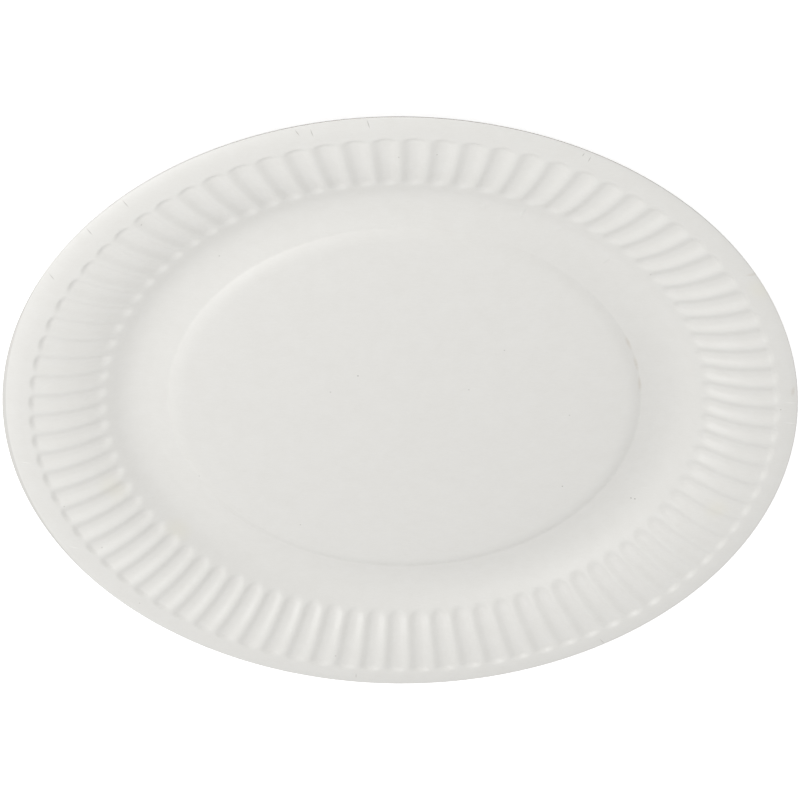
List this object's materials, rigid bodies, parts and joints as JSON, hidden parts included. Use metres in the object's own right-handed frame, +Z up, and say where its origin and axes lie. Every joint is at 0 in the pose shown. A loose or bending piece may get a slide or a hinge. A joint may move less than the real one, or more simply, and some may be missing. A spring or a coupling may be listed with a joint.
{
  "type": "paper plate",
  "caption": "Round pressed-board plate with a raised middle panel, a fluted sloping wall and a lip that turns down, for serving food.",
  "frame": {"origin": "middle of the trimmed outline, on the plane that the plate stands on", "axes": "+Z up, out of the hollow; +X and +Y lie in the plane that the plate stands on, with a ridge of the wall 0.75 degrees from +X"},
  "size_m": [0.23, 0.23, 0.0107],
  "materials": {
    "coated_board": "satin"
  },
  "bodies": {
    "root": {"plate": "coated_board"}
  },
  "joints": []
}
